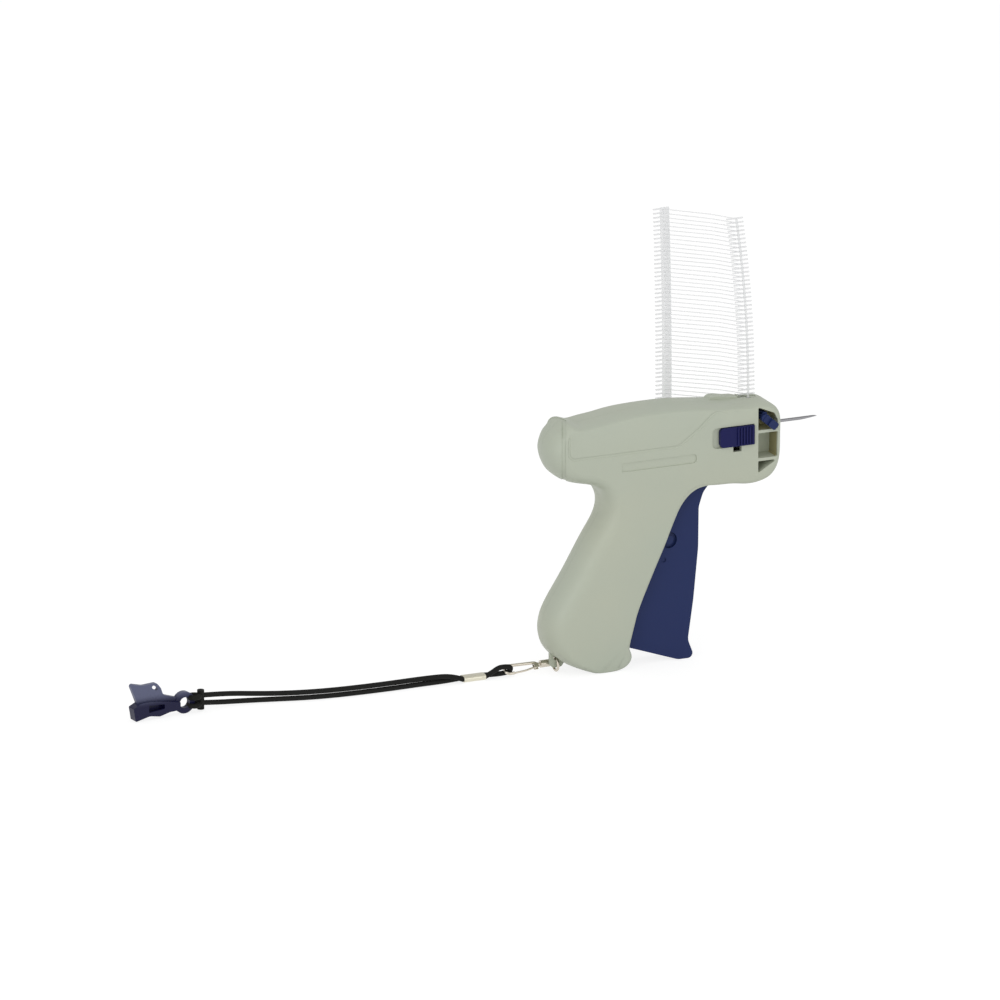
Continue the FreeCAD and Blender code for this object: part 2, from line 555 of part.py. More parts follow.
def trigger():
    half = TRIGGER_HALF
    body = fuse([trigger_blade(0, (-half, half)), rod_y(TRIGGER_PIVOT, (-half, half), HUB_R)])
    hollow_y = (-half + TRIGGER_WALL, half - TRIGGER_WALL)
    hollow = trigger_blade(TRIGGER_WALL, hollow_y)
    open_back = [hollow.translated(Vector(-step, 0, step * 0.7)) for step in (0, 4.0, 8.0)]
    body = body.cut(fuse(open_back))
    hub_room = rod_y(TRIGGER_PIVOT, hollow_y, HUB_R + 0.2)
    body = body.cut(hub_room)
    body = body.cut(rod_y(TRIGGER_PIVOT, (-half - 1, half + 1), PIVOT_PIN_R + RUN))
    body = body.cut(rod_y(LINK_PIN_AT, (-half - 1, half + 1), LINK_PIN_R))
    steps = 8
    slot = []
    for i in range(steps + 1):
        at = turned_y(LEVER_PIVOT, -TRIGGER_TURN * i / steps, TRIGGER_PIVOT)
        slot.append(rod_y(at, (-half - 1, half + 1), LEVER_PIN_R + SLOT_ROOM))
    body = body.cut(fuse(slot))
    ring = rod_y(RING_AT, (-half - 1, -half + RING_DEPTH), RING_R[1])
    ring = ring.cut(rod_y(RING_AT, (-half - 2, half), RING_R[0]))
    dimple = rod_y(DIMPLE_AT, (-half - 1, -half + 0.5), DIMPLE_R)
    marks = fuse([ring, dimple])
    return body.cut(marks).cut(mirrored(marks))


def trigger_pivot_pin():
    return rod_y(TRIGGER_PIVOT, (-PIN_END, PIN_END), PIVOT_PIN_R)


def lever_pivot_pin():
    return rod_y(LEVER_PIVOT, (-PIN_END, PIN_END), LEVER_PIN_R)


def link_pin():
    return rod_y(LINK_PIN_AT, (-TRIGGER_HALF, TRIGGER_HALF), LINK_PIN_R)


def trigger_spring():
    """A torsion spring round the trigger pin, with a leg on the case and a leg in the trigger."""
    wire = 0.45
    coil_r = PIVOT_PIN_R + 1.2
    turns = 3.5
    pitch = 2 * wire + 0.1
    helix = Part.makeHelix(pitch, pitch * turns, coil_r)
    ring = Part.Wire(Part.makeCircle(wire, Vector(coil_r, 0, 0), Vector(0, 1, 0)))
    coil = Part.Wire(helix.Edges).makePipeShell([ring], True, True)
    coil.Placement = Placement(Vector(TRIGGER_PIVOT[0], -pitch * turns / 2, TRIGGER_PIVOT[1]),
                               Rotation(Vector(1, 0, 0), -90))
    return coil, wire, coil_r, pitch * turns / 2


def spring_with_legs():
    coil, wire, coil_r, half = trigger_spring()
    x, z = TRIGGER_PIVOT
    case_leg = rod((x + coil_r, -half, z - 0.6), (x + coil_r + 1.0, -half, z + 6.5), wire)
    trigger_leg = rod((x - coil_r, half, z + 0.6), (x - coil_r - 0.6, half, z - 7.8), wire)
    return fuse([coil, case_leg, trigger_leg])


def lever_point(radius, angle):
    a = math.radians(angle)
    return (LEVER_PIVOT[0] + radius * math.cos(a), LEVER_PIVOT[1] + radius * math.sin(a))


def bar_between(a, b, half, y):
    """A flat bar with round ends between two (X, Z) points."""
    along = Vector(b[0] - a[0], 0, b[1] - a[1])
    across = Vector(along.z, 0, -along.x).normalize() * half
    start = Vector(a[0], y[0], a[1])
    end = Vector(b[0], y[0], b[1])
    corners = [start + across, end + across, end - across, start - across, start + across]
    face = Part.Face(Part.makePolygon(corners))
    return fuse([face.extrude(Vector(0, y[1] - y[0], 0)), rod_y(a, y, half), rod_y(b, y, half)])


def link_angle():
    return math.degrees(math.atan2(LINK_PIN_AT[1] - LEVER_PIVOT[1], LINK_PIN_AT[0] - LEVER_PIVOT[0]))


def link_reach():
    return math.hypot(LINK_PIN_AT[0] - LEVER_PIVOT[0], LINK_PIN_AT[1] - LEVER_PIVOT[1])


def drive_lever():
    y = (-LEVER_THICK / 2, LEVER_THICK / 2)
    upper = lever_point(LEVER_ARM, LEVER_REST)
    reach = link_reach()
    slot_in = lever_point(reach - 1.3, link_angle())
    slot_out = lever_point(reach + 0.9, link_angle())
    arm = bar_between(LEVER_PIVOT, upper, LEVER_WIDTH / 2, y)
    foot = bar_between(LEVER_PIVOT, slot_out, LINK_PIN_R + SLOT_ROOM + 1.9, y)
    body = fuse([arm, foot, rod_y(LEVER_PIVOT, y, LEVER_HUB_R)])
    body = body.cut(bar_between(slot_in, slot_out, LINK_PIN_R + SLOT_ROOM, (y[0] - 1, y[1] + 1)))
    body = body.cut(rod_y(LEVER_PIVOT, (-5, 5), LEVER_PIN_R + RUN))
    return body.cut(rod_y(upper, (-5, 5), DRIVE_PIN_R))


def drive_pin():
    return rod_y(lever_point(LEVER_ARM, LEVER_REST), (-SLIDE_HALF + 0.6, SLIDE_HALF - 0.6), DRIVE_PIN_R)


def slide_span():
    x = lever_point(LEVER_ARM, LEVER_REST)[0]
    return (x - SLIDE_BACK, x + SLIDE_FRONT)


def ejector_slide():
    x = slide_span()
    pin_x, pin_low = lever_point(LEVER_ARM, LEVER_REST)
    pin_high = LEVER_PIVOT[1] + LEVER_ARM
    block = box(x, (-SLIDE_HALF, SLIDE_HALF), SLIDE_Z)
    fork = LEVER_THICK / 2 + FIT
    block = block.cut(box((x[0] - 1, x[1] - SLIDE_WEB), (-fork, fork), (SLIDE_Z[0] - 1, SLIDE_Z[1] + 1)))
    slot = bar_between((pin_x, pin_low - 0.5), (pin_x, pin_high + 0.5), DRIVE_PIN_R + SLOT_ROOM,
                       (-SLIDE_HALF - 1, SLIDE_HALF + 1))
    bore = rod((x[1] - SLIDE_WEB, TAG_Y, SHOT_Z), (x[1] + 1, TAG_Y, SHOT_Z), ROD_R)
    return block.cut(slot).cut(bore)


def push_rod():
    return rod((slide_span()[1] - SLIDE_WEB, TAG_Y, SHOT_Z), (ROD_TIP, TAG_Y, SHOT_Z), ROD_R)


# ---------------------------------------------------------------- tag path
def wheel_centre():
    pitch_r = WHEEL_TEETH * TAG_PITCH / (2 * math.pi)
    return TAG_Y - pitch_r, FIRST_BAR_Z + WHEEL_RUNG * TAG_PITCH


def feed_wheel():
    """A thin star wheel on an axle along X; a gap between two teeth faces the strip."""
    y, z = wheel_centre()
    x = WHEEL_X
    disc = rod((x[0], y, z), (x[1], y, z), WHEEL_ROOT_R)
    teeth = []
    for i in range(WHEEL_TEETH):
        tooth = Part.Face(Part.makePolygon([
            Vector(x[0], 0.5, -TOOTH_ROOT / 2), Vector(x[0], WHEEL_TIP_R, -TOOTH_TIP / 2),
            Vector(x[0], WHEEL_TIP_R, TOOTH_TIP / 2), Vector(x[0], 0.5, TOOTH_ROOT / 2),
            Vector(x[0], 0.5, -TOOTH_ROOT / 2)])).extrude(Vector(x[1] - x[0], 0, 0))
        turn = Rotation(Vector(1, 0, 0), 360.0 / WHEEL_TEETH * (i + 0.5))
        tooth.Placement = Placement(Vector(0, y, z), turn)
        teeth.append(tooth)
    return fuse([disc] + teeth).cut(rod((x[0] - 1, y, z), (x[1] + 1, y, z), AXLE_R + RUN))


def axle_span():
    return (WHEEL_X[0] - 2.7, TAG_X - RUNNER_R - FIT - 0.3)


def feed_wheel_axle():
    y, z = wheel_centre()
    x = axle_span()
    return rod((x[0], y, z), (x[1], y, z), AXLE_R)


def knife_span():
    return box((TAG_X + RUNNER_R + FIT + 0.1, NEEDLE_BASE[0] - 0.3), (2.2, 2.9), (SHOT_Z - 1.8, SHOT_Z + 1.8))


def feed_block():
    """The guide in the nose that carries the strip, the feed wheel, the knife and the needle."""
    block = prism(flat(FEED_BLOCK_OUTLINE), FEED_BLOCK_Y)
    y, z = wheel_centre()
    top = FEED_BLOCK_OUTLINE[-1][1]
    pocket = box((WHEEL_X[0] - FIT, WHEEL_X[1] + FIT), (-5, y + WHEEL_TIP_R + FIT),
                 (z - WHEEL_TIP_R - 0.4, top + 1))
    axle = axle_span()
    cuts = [
        tag_channel(0.0, top + 1),
        pocket,
        rod((axle[0], y, z), (axle[1], y, z), AXLE_R),
        rod((70, TAG_Y, SHOT_Z), (TAG_X, TAG_Y, SHOT_Z), ROD_R + 2 * RUN),
        rod((TAG_X, TAG_Y, SHOT_Z), (NEEDLE_BASE[0] + 0.1, TAG_Y, SHOT_Z), BAR_R + 0.2),
        rod((NEEDLE_BASE[0], TAG_Y, SHOT_Z), (100, TAG_Y, SHOT_Z), NEEDLE_BASE_R),
        needle_way(),
        box((WINDOW_BACK + 1.9, 95), (-3, 1.3), (SHOT_Z + 0.4, top + 2)),
    ]
    return block.cut(fuse(cuts)).cut(knife_span())


def check_spring():
    """A steel leaf on the feed block whose tip keeps the wheel from turning back."""
    top = FEED_BLOCK_OUTLINE[-1][1]
    y, z = wheel_centre()
    leaf = box((76.8, WHEEL_X[1] + 1.5), (FEED_BLOCK_Y[0] + 0.2, 2.4), (top, top + 0.4))
    tip = box((WHEEL_X[0] + 0.2, WHEEL_X[1] - 0.2), (y - 0.3, y + 0.3), (z + WHEEL_TIP_R + 0.25, top))
    return fuse([leaf, tip])


def needle_base():
    x = NEEDLE_BASE
    body = rod((x[0], TAG_Y, SHOT_Z), (x[1], TAG_Y, SHOT_Z), NEEDLE_BASE_R)
    body = body.cut(rod((x[0] - 1, TAG_Y, SHOT_Z), (x[1] + 1, TAG_Y, SHOT_Z), NEEDLE_R))
    return body.cut(needle_way())


def needle():
    """A slotted steel tube with a slanted point."""
    x = (NEEDLE_BASE[0], NEEDLE_TIP)
    tube = rod((x[0], TAG_Y, SHOT_Z), (x[1], TAG_Y, SHOT_Z), NEEDLE_R)
    tube = tube.cut(rod((x[0] - 1, TAG_Y, SHOT_Z), (x[1] + 1, TAG_Y, SHOT_Z), NEEDLE_BORE))
    half = NEEDLE_SLOT / 2
    tube = tube.cut(box((x[0] - 1, x[1] + 1), (TAG_Y, TAG_Y + 3), (SHOT_Z - half, SHOT_Z + half)))
    point = SHOT_Z + NEEDLE_R / 2
    low = SHOT_Z - NEEDLE_R - 0.01
    high = SHOT_Z + NEEDLE_R + 0.01
    y = (TAG_Y - 2, TAG_Y + 2)
    tube = tube.cut(prism(flat([(x[1] - NEEDLE_BEVEL, low), (x[1] + 0.1, low), (x[1] + 0.1, point)]), y))
    tube = tube.cut(prism(flat([(x[1] - NEEDLE_BEVEL / 3, high), (x[1] + 0.1, high), (x[1] + 0.1, point)]), y))
    return max(tube.Solids, key=lambda s: s.Volume)


def strip_lean(z):
    return LEAN_CURVE * max(0.0, z - LEAN_FROM) ** 2


def tag_places(z):
    """Middle of the bar and of the paddle of the tag at this height."""
    lean = strip_lean(z)
    return (TAG_X - lean, TAG_Y, z), (TAG_X + FILAMENT_RUN[0] - PADDLE_LEAN * lean, TAG_Y + FILAMENT_RUN[1], z)


def tag_pin(index):
    """One tag: a bar with its stub, the thread and the paddle."""
    z = FIRST_BAR_Z + index * TAG_PITCH
    (x, y, _), far = tag_places(z)
    bar = rod((x - BAR_LENGTH / 2, y, z), (x + BAR_LENGTH / 2, y, z), BAR_R)
    stub = rod((x, RUNNER_Y, z), (x, y, z), STUB_R)
    bow = FILAMENT_BOW * (0.75 + 0.25 * math.sin(0.9 * index))
    knee = (x + 0.32 * (far[0] - x), y + 0.32 * (far[1] - y), z + bow)
    thread, _ = swept([far, knee, (x, y, z)], [0.0, 60.0, 0.0], FILAMENT_R)
    length, width, thick = PADDLE_SIZE
    paddle = box((far[0] - length / 2, far[0] + length / 2), (far[1] - 0.4, far[1] + width - 0.4),
                 (z - thick / 2, z + thick / 2))
    return [bar, stub, thread, paddle]


def tag_clip():
    low = FIRST_BAR_Z - 0.6
    high = FIRST_BAR_Z + (TAG_COUNT - 1) * TAG_PITCH + 0.6
    steps = 5
    heights = [low] + [LEAN_FROM + (high - LEAN_FROM) * i / steps for i in range(steps + 1)]
    pieces = []
    for below, above in zip(heights, heights[1:]):
        start = (tag_places(below)[0][0], RUNNER_Y, below)
        end = (tag_places(above)[0][0], RUNNER_Y, above)
        pieces.append(rod(start, end, RUNNER_R))
        edges = [(tag_places(z)[1][0] + side, z) for z, side in (
            (below, PADDLE_BAND[0]), (below, PADDLE_BAND[1]), (above, PADDLE_BAND[1]), (above, PADDLE_BAND[0]))]
        far_y = TAG_Y + FILAMENT_RUN[1]
        pieces.append(prism(flat(edges), (far_y, far_y + PADDLE_BAND_THICK)))
    for i in range(TAG_COUNT):
        pieces += tag_pin(i)
    return pieces[0].multiFuse(pieces[1:])


# ---------------------------------------------------------------- controls on the right side
def needle_lock_lever():
    x, z = LOCK_PIVOT
    a = math.radians(LOCK_ANGLE)
    along = Vector(math.cos(a), 0, math.sin(a))
    across = Vector(along.z, 0, -along.x) * (LOCK_WIDTH / 2)

    def plate(ends, depth):
        near, far = [Vector(x, 0, z) + along * reach for reach in ends]
        corners = [near + across, far + across, far - across, near - across]
        return prism([(c.x, c.z, 1.0) for c in corners], depth)

    head = plate(LOCK_PLATE, (-LOCK_PLATE_Y[1], -LOCK_PLATE_Y[0]))
    neck = plate(LOCK_NECK, (-LOCK_NECK_Y[1], -LOCK_NECK_Y[0]))
    hub = rod_y(LOCK_PIVOT, (-LOCK_NECK_Y[1] + 0.3, -WINDOW_FLOOR - FIT), LOCK_HUB_R)
    finger = prism([(x - 1.5, z - 0.6, 0.4), (x + 1.1, z - 0.6, 0.4),
                    (x + 1.3, z + 3.0, 0.7), (x - 0.9, z + 3.0, 0.7)],
                   (-CASE_HALF + 1.0, -CASE_HALF + 6.5))
    shaft = rod_y(LOCK_PIVOT, (-WINDOW_FLOOR - FIT - 0.1, 0.2), LOCK_SHAFT_R)
    cam_tip = (x + 2.4, z - 4.7)
    cam = bar_between(LOCK_PIVOT, cam_tip, 1.0, (-0.75, 1.0))
    return fuse([head, neck, hub, finger, shaft, cam])


def slide_button():
    y_face = -CASE_HALF - BUTTON_PROUD
    floor = -CASE_HALF + RECESS_DEPTH - FIT
    pad = prism([(BUTTON_X[0], BUTTON_Z[0], BUTTON_CORNER), (BUTTON_X[1], BUTTON_Z[0], 0.3),
                 (BUTTON_X[1], BUTTON_Z[1], 0.3), (BUTTON_X[0], BUTTON_Z[1], BUTTON_CORNER)], (y_face, floor))
    x, z = button_stem(0.0)
    stem = box(x, (floor - 0.1, -CASE_HALF + WALL + FIT), z)
    keeper = box((x[0] - 2.5, x[1] + 2.5), (-CASE_HALF + WALL + FIT, -CASE_HALF + WALL + FIT + 1.5),
                 (z[0] - 1.8, z[1] + 1.8))
    ribs = []
    at = RIB_FROM
    while at + 0.8 < BUTTON_X[1]:
        ribs.append(box((at, at + 0.8), (y_face - 0.6, y_face + 0.1), (BUTTON_Z[0] + 0.5, BUTTON_Z[1] - 0.5)))
        at += RIB_PITCH
    return fuse([pad, stem, keeper] + ribs)


# ---------------------------------------------------------------- lug chain and lanyard
def tilted(shape):
    """Turns a piece of the snap hook, drawn level, about the hook's own length."""
    turned = shape.copy()
    turned.rotate(Vector(0, CHAIN_Y, CHAIN_Z), Vector(1, 0, 0), HOOK_TILT)
    return turned


def lug_ring():
    """The ring that hangs upright in the lug's hole."""
    inner = LUG_RING_R - LUG_RING_WIRE
    lift = inner - math.sqrt(inner ** 2 - LUG_HALF ** 2) + RUN
    middle = Vector(LUG_AT[0], 0, LUG_AT[1] - LUG_HOLE_R + lift - inner)
    return Part.makeTorus(LUG_RING_R, LUG_RING_WIRE, middle, Vector(1, 0, 0))


def swivel_eye():
    """The eye round the lug ring's left side, with the collar that the hook turns in."""
    room = EYE_R - EYE_WIRE - LUG_RING_WIRE - RUN
    pulled = math.sqrt(room ** 2 - (CHAIN_Y - LUG_RING_R) ** 2)
    eye = Part.makeTorus(EYE_R, EYE_WIRE, Vector(LUG_AT[0] - pulled, CHAIN_Y, CHAIN_Z), Vector(0, 0, 1))
    back = (SWIVEL_X[0], CHAIN_Y, CHAIN_Z)
    collar = rod(back, (SWIVEL_X[1], CHAIN_Y, CHAIN_Z), SWIVEL_R)
    bore_end = (SWIVEL_X[0] + 3.8, CHAIN_Y, CHAIN_Z)
    collar = collar.cut(rod((SWIVEL_X[0] - 1, CHAIN_Y, CHAIN_Z), bore_end, HOOK_WIRE + RUN))
    collar = collar.cut(rod((SWIVEL_X[0] + 1.3, CHAIN_Y, CHAIN_Z), bore_end, 1.3))
    return fuse([eye, collar])


def hook_points(route):
    return [(x, CHAIN_Y + y, CHAIN_Z) for x, y, _ in route]


def snap_hook():
    wire, _ = swept(hook_points(HOOK_ROUTE), [r for _, _, r in HOOK_ROUTE], HOOK_WIRE)
    rivet = rod((SWIVEL_X[0] + 1.9, CHAIN_Y, CHAIN_Z), (SWIVEL_X[0] + 3.3, CHAIN_Y, CHAIN_Z), 1.25)
    x, y, middle = hook_points(GATE_ROUTE)[0]
    low, high = EAR_PLATE
    pin = rod((x, y, middle - high), (x, y, middle + high), EAR_PIN_R)
    plates = [box((x - 0.8, x + 1.6), (y - 0.8, CHAIN_Y + 0.5), (middle + a, middle + b))
              for a, b in ((-high, -low), (low, high))]
    return tilted(fuse([wire, rivet, pin] + plates))


def hook_gate():
    wire, _ = swept(hook_points(GATE_ROUTE), [r for _, _, r in GATE_ROUTE], GATE_WIRE)
    x, y, middle = hook_points(GATE_ROUTE)[0]
    half = EAR_PLATE[0] - 2 * RUN
    knuckle = rod((x, y, middle - half), (x, y, middle + half), 0.75)
    hole = rod((x, y, middle - 2), (x, y, middle + 2), EAR_PIN_R + RUN)
    return tilted(fuse([wire, knuckle]).cut(hole))


def cord(points, name):
    radii = cord_radii(points)
    tube, length = swept(points, radii, CORD_R)
    section = math.pi * CORD_R ** 2
    print(name, "length", round(length, 2), "volume over section x length",
          round(tube.Volume / (section * length), 4))
    print("   radii", [round(r, 1) for r in radii[1:-1]])
    return tube


def cord_crimp():
    """A metal ferrule pressed flat round both strands, which lie side by side in it."""
    _, left, z = CORD_ROUTE_LOWER[0]
    right = CORD_ROUTE_UPPER[0][1]
    middle = box(CRIMP_X, (right, left), (z - CRIMP_R, z + CRIMP_R))
    return fuse([rod((CRIMP_X[0], y, z), (CRIMP_X[1], y, z), CRIMP_R) for y in (left, right)] + [middle])


def lanyard_knot():
    """The hitch of the doubled cord round the ring of the needle cap."""
    x, y, z = CAP_RING_AT
    bar_x = KNOT_X + 3.6
    across = rod((bar_x, y + 0.6, z - KNOT_HALF), (bar_x, y + 0.6, z + KNOT_HALF), CORD_R + 0.5)
    turns = []
    for height, side in ((z - 2.1, 1), (z + 2.1, 1)):
        loop = Part.makeTorus(2.7, CORD_R, Vector(KNOT_X - 0.2, y, height), Vector(0, 0, 1))
        turns.append(loop)
    return fuse([across] + turns).cut(needle_cap())


def needle_cap():
    """The cover that is pushed over the needle, with a ring for the lanyard."""
    x, y, z = CAP_RING_AT
    half = CAP_THICK / 2

    def at(back, height, radius):
        return (x - back, height, radius)

    ring = rod_y((x, z), (y - half, y + half), CAP_RING_R)
    upper = prism([at(*corner) for corner in CAP_UPPER], (y - 1.2, y + 1.2))
    lower = prism([at(*corner) for corner in CAP_LOWER], (y - CAP_BLOCK / 2, y + CAP_BLOCK / 2))
    hollow = prism([at(*corner) for corner in CAP_HOLLOW], (y - CAP_BLOCK / 2 - 1, y - CAP_BLOCK / 2 + 3.2))
    eyelet = bar_between((x - 17.7, 16.4), (x - 15.9, 15.2), 0.8, (y - 3, y + 3))
    body = fuse([ring, upper, lower]).cut(hollow).cut(eyelet)
    body = body.cut(rod_y((x, z), (y - 5, y + 5), CAP_RING_HOLE))
    body.rotate(Vector(x, y, z), Vector(0, 0, 1), CAP_AIM)
    return body


# ---------------------------------------------------------------- write every piece
def build():
    return {
        "right_housing": right_housing(),
        "left_housing": left_housing(),
        "housing_screws": housing_screws(),
        "trigger": trigger(),
        "trigger_pivot_pin": trigger_pivot_pin(),
        "trigger_spring": spring_with_legs(),
        "link_pin": link_pin(),
        "drive_lever": drive_lever(),
        "lever_pivot_pin": lever_pivot_pin(),
        "drive_pin": drive_pin(),
        "ejector_slide": ejector_slide(),
        "push_rod": push_rod(),
        "feed_block": feed_block(),
        "feed_wheel": feed_wheel(),
        "feed_wheel_axle": feed_wheel_axle(),
        "check_spring": check_spring(),
        "knife_blade": knife_span(),
        "needle_base": needle_base(),
        "needle": needle(),
        "tag_pin_clip": tag_clip(),
        "needle_lock_lever": needle_lock_lever(),
        "slide_button": slide_button(),
        "lug_ring": lug_ring(),
        "swivel_eye": swivel_eye(),
        "snap_hook": snap_hook(),
        "hook_gate": hook_gate(),
        "lanyard_cord_lower": cord(CORD_ROUTE_LOWER, "lower strand").cut(cord_crimp()).cut(lanyard_knot()),
        "lanyard_cord_upper": cord(CORD_ROUTE_UPPER, "upper strand").cut(cord_crimp()).cut(lanyard_knot()),
        "cord_eye": cord(CORD_EYE_ROUTE, "cord eye").cut(cord_crimp()),
        "cord_crimp": cord_crimp(),
        "lanyard_knot": lanyard_knot(),
        "needle_cap": needle_cap(),
    }


os.makedirs("parts", exist_ok=True)
for node, shape in build().items():
    shape.exportStep("parts/" + node + ".step")
    bounds = shape.BoundBox
    print(node, "solids", len(shape.Solids), "valid", shape.isValid(), "volume", round(shape.Volume, 1),
          "X", round(bounds.XMin, 1), round(bounds.XMax, 1), "Y", round(bounds.YMin, 1), round(bounds.YMax, 1),
          "Z", round(bounds.ZMin, 1), round(bounds.ZMax, 1))
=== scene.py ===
import bmesh
import bpy
import math
from mathutils import Matrix, Vector
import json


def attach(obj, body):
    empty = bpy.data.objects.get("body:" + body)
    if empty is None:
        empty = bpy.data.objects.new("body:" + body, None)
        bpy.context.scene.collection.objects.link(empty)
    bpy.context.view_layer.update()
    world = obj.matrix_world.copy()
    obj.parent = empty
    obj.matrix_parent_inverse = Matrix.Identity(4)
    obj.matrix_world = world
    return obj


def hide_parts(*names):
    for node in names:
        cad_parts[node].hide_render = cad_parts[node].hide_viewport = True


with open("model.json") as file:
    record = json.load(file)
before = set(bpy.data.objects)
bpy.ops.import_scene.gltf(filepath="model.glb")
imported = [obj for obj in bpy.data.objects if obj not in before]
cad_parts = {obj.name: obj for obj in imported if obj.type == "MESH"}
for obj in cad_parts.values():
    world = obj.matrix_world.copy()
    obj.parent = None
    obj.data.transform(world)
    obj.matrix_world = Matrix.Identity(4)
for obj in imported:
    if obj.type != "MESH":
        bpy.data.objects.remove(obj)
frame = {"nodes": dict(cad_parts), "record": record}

# The looks of a garment tag attacher: its finishes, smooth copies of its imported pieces, the cords of
# its lanyard, and a white studio around it. X points to the needle, Y to the gun's left, Z upwards.

MM = 0.001


def write_bounds():
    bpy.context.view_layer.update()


write_bounds()


# ------------------------------------------------------------------ tools for the finishes
NOISE_SPREAD = (0.3, 0.7)                        # nearly all values of a noise lie between these


def linear(red, green, blue):
    """A screen colour from 0 to 255 as the renderer's linear colour."""
    channels = []
    for value in (red, green, blue):
        share = value / 255.0
        channels.append(share / 12.92 if share <= 0.04045 else ((share + 0.055) / 1.055) ** 2.4)
    return (*channels, 1.0)


def fill(tree, node, sockets):
    """Give each of these sockets of a node its value, or its link if that is a shade."""
    for key, value in sockets.items():
        if isinstance(value, Shade):
            tree.links.new(value.socket, node.inputs[key])
        else:
            node.inputs[key].default_value = value


def add_node(tree, kind, settings, sockets):
    """A new node, with its settings made first and its sockets filled after that."""
    node = tree.nodes.new(kind)
    for name, value in settings.items():
        setattr(node, name, value)
    fill(tree, node, sockets)
    return node


class Shade:
    """What comes out of a socket. Sums, products and mixes of it add the nodes that work them out."""

    def __init__(self, tree, socket):
        self.tree = tree
        self.socket = socket

    def maths(self, operation, other):
        node = add_node(self.tree, "ShaderNodeMath", {"operation": operation}, {0: self, 1: other})
        return Shade(self.tree, node.outputs[0])

    def __add__(self, other):
        return self.maths("ADD", other)

    def __mul__(self, other):
        return self.maths("MULTIPLY", other)

    __radd__ = __add__
    __rmul__ = __mul__

    def between(self, low, high, to_low, to_high):
        """A soft step from one value, up to `low`, to another, from `high` on."""
        node = add_node(self.tree, "ShaderNodeMapRange", {"interpolation_type": "SMOOTHSTEP"}, {
            "Value": self, "From Min": low, "From Max": high, "To Min": to_low, "To Max": to_high})
        return Shade(self.tree, node.outputs["Result"])

    def colours(self, first, second):
        """The first colour where this is 0, the second where it is 1, and their mix between."""
        node = add_node(self.tree, "ShaderNodeMix", {"data_type": "RGBA"}, {
            "Factor": self, "A": first, "B": second})
        return Shade(self.tree, node.outputs["Result"])


class Finish:
    """A new material with one Principled shader."""

    def __init__(self, name, sockets):
        self.material = bpy.data.materials.new(name)
        self.material.use_nodes = True
        self.tree = self.material.node_tree
        self.shader = self.tree.nodes["Principled BSDF"]
        self.feed(sockets)

    def feed(self, sockets):
        fill(self.tree, self.shader, sockets)

    def node(self, kind, sockets):
        return add_node(self.tree, kind, {}, sockets)

    def place(self):
        return Shade(self.tree, self.node("ShaderNodeTexCoord", {}).outputs["Object"])

    def along(self, axis):
        """How far along an axis a point lies, in millimetres."""
        parts = self.node("ShaderNodeSeparateXYZ", {"Vector": self.place()})
        return Shade(self.tree, parts.outputs[axis]) * (1.0 / MM)

    def inside(self, box):
        """1 within a box with soft sides, and 0 outside it."""
        share = 1.0
        for axis, (begins, full, fades, ends) in box.items():
            place = self.along(axis)
            share = share * place.between(begins, full, 0.0, 1.0) * place.between(fades, ends, 1.0, 0.0)
        return share

    def noise(self, scale):
        made = self.node("ShaderNodeTexNoise", {"Vector": self.place(), "Scale": scale})
        return Shade(self.tree, made.outputs["Fac"])

    def uneven(self, scale, low, high):
        """Patches that wander between two values, with about `scale` of them to the metre."""
        return self.noise(scale).between(*NOISE_SPREAD, low, high)

    def grain(self, scale, strength, depth):
        """Fine roughness that can be felt."""
        bump = self.node("ShaderNodeBump", {
            "Height": self.noise(scale), "Strength": strength, "Distance": depth * MM})
        self.feed({"Normal": Shade(self.tree, bump.outputs["Normal"])})


# ------------------------------------------------------------------ finishes
# Two places in the nose window where shade is painted, by the millimetres where the painted shade begins, is
# full, fades and ends.
UPPER_CELL_SHADE = {
    "X": (81.5, 82.5, 93.0, 93.8),
    "Y": (-12.4, -11.2, -1.4, -0.6),
    "Z": (116.0, 116.6, 126.2, 127.0),
}
FRONT_WALL_SHADE = {
    "X": (92.4, 93.0, 94.6, 95.2),
    "Y": (-12.4, -11.2, -3.2, -2.7),
    "Z": (99.0, 99.8, 116.0, 116.6),
}
CAP_PLATE_Z = (7.0, 13.0)                        # height over which the needle cap turns paler
POLISH_SPREAD = (0.8, 1.25)                      # least and greatest share of a metal's own roughness


def case_plastic():
    """Pale grey-green, with darker olive shade painted into the depth of the nose window."""
    finish = Finish("case_plastic", {"Specular IOR Level": 0.42})
    clouds = finish.uneven(scale=18.0, low=0.0, high=1.0)
    plain = clouds.colours(linear(188, 193, 175), linear(185, 192, 176))
    # painted shade: the upper cell of the nose window is darkened and tinted olive where shadow falls in it
    with_cell_shade = finish.inside(UPPER_CELL_SHADE).colours(plain, linear(180, 176, 134))
    # painted shade: the inner face of the window's front wall is darker olive where it lies in shadow
    with_wall_shade = finish.inside(FRONT_WALL_SHADE).colours(with_cell_shade, linear(152, 145, 106))
    finish.feed({"Base Color": with_wall_shade, "Roughness": finish.uneven(scale=140.0, low=0.40, high=0.47)})
    finish.grain(scale=1500.0, strength=0.05, depth=0.1)
    return finish.material


def moulded_plastic(name, colour):
    """Smooth plastic of one colour, a little duller in places."""
    finish = Finish(name, {"Base Color": colour, "Specular IOR Level": 0.2})
    finish.feed({"Roughness": finish.uneven(scale=160.0, low=0.35, high=0.43)})
    finish.grain(scale=1300.0, strength=0.05, depth=0.1)
    return finish.material


def tag_nylon():
    """Clear nylon, so thin that it shows as a pale grey against white."""
    finish = Finish("tag_nylon", {
        "Base Color": linear(238, 239, 240), "Roughness": 0.4, "Alpha": 0.42, "Specular IOR Level": 0.3})
    return finish.material


